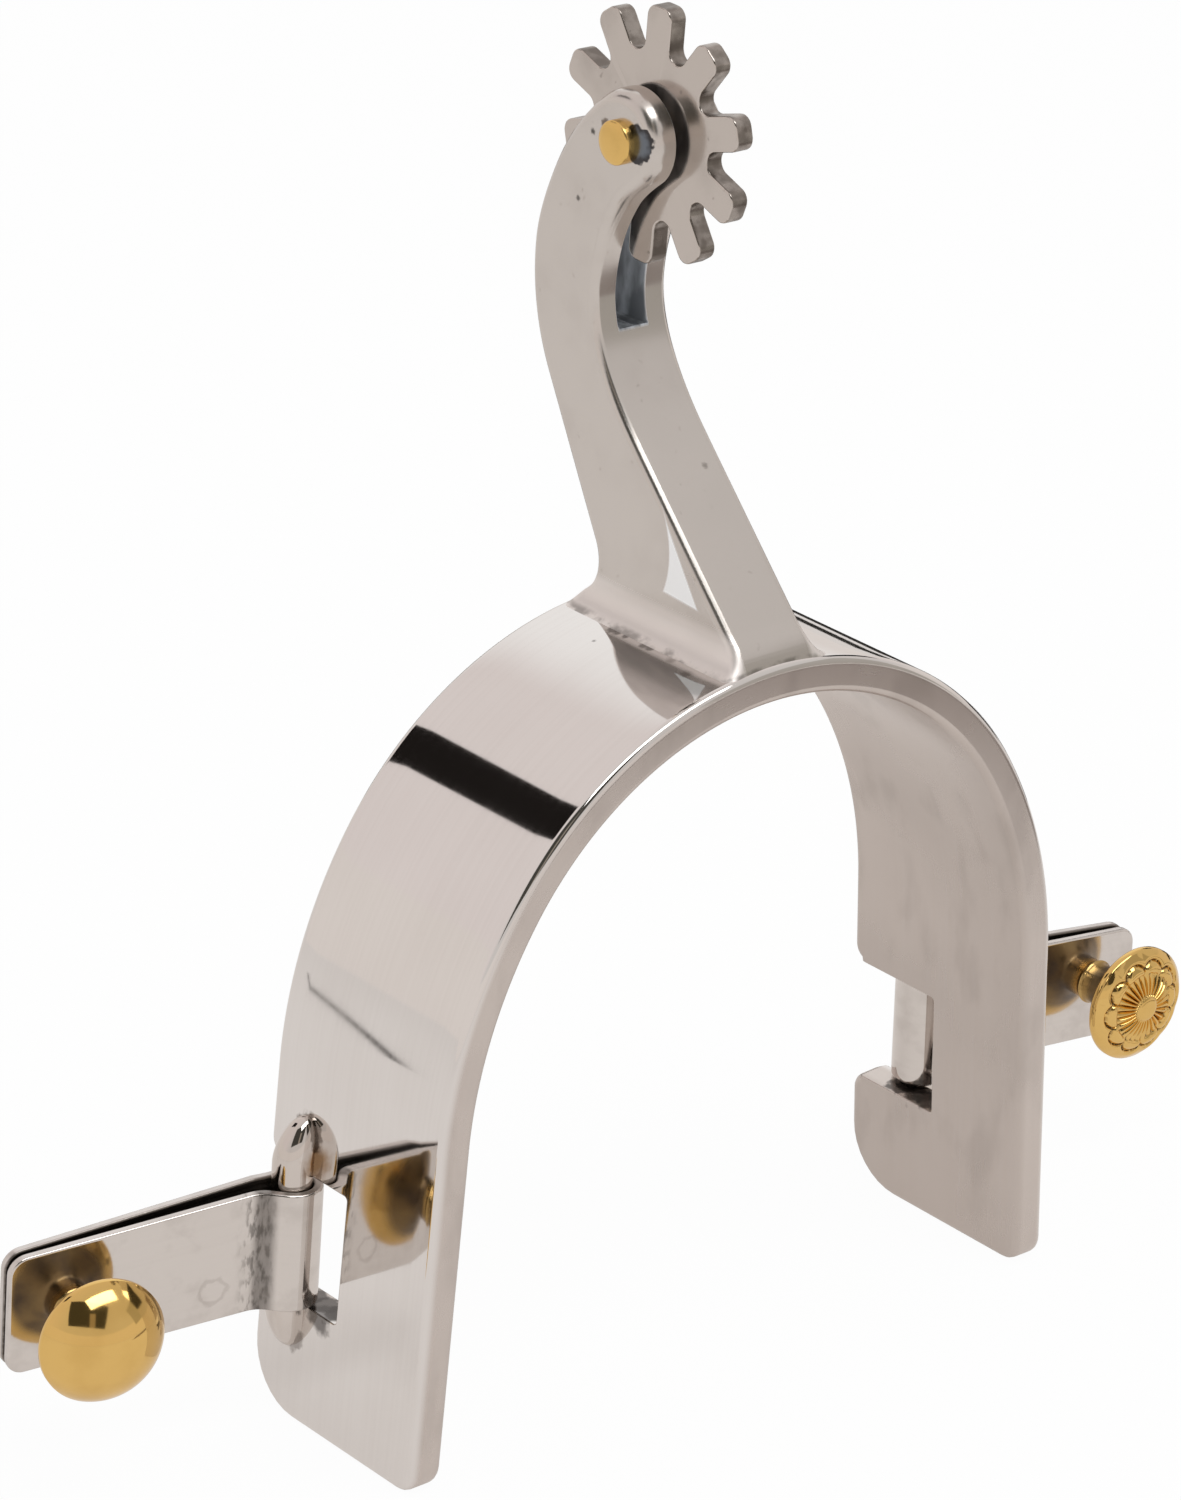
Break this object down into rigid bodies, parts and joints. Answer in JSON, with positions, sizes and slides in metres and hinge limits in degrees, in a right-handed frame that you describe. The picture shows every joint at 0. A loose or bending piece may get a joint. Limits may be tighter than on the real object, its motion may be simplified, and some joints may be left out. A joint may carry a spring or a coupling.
{
  "type": "riding spur",
  "caption": "Western riding spur: polished heel band, bent shank with a free-turning blunt rowel, and swinging strap hangers with brass buttons",
  "frame": {"origin": "centre of the heel curve, midway across the width of the band", "axes": "X crosses the heel from the plain button to the flower button, Y runs along the width of the band towards the notched edge, Z points from the arm ends to the rowel; the part stands on its arm ends"},
  "size_m": [0.1433, 0.0341, 0.1353],
  "materials": {
    "polished_steel": "mirror polished",
    "satin_steel": "satin",
    "brass": "polished"
  },
  "bodies": {
    "frame": {"heel_band": "polished_steel", "shank": "satin_steel", "rowel_pin": "brass", "left_post": "polished_steel", "right_post": "polished_steel"},
    "rowel": {"rowel": "satin_steel"},
    "left_hanger": {"left_strap": "polished_steel", "left_button": "brass"},
    "right_hanger": {"right_strap": "polished_steel", "right_button": "brass"}
  },
  "joints": [
    {"name": "rowel_spin", "type": "hinge", "parent": "frame", "child": "rowel", "pos_m": [0, 0.0091, 0.0844], "axis": [1, 0, 0], "continuous": true},
    {"name": "left_strap_swing", "type": "hinge", "parent": "frame", "child": "left_hanger", "pos_m": [-0.04179, 0.0071, -0.01898], "axis": [-0.0297, 0, -0.9996], "range_deg": [-73, 87]},
    {"name": "right_strap_swing", "type": "hinge", "parent": "frame", "child": "right_hanger", "pos_m": [0.04179, 0.0071, -0.01898], "axis": [-0.0297, 0, 0.9996], "range_deg": [-59, 101]}
  ]
}
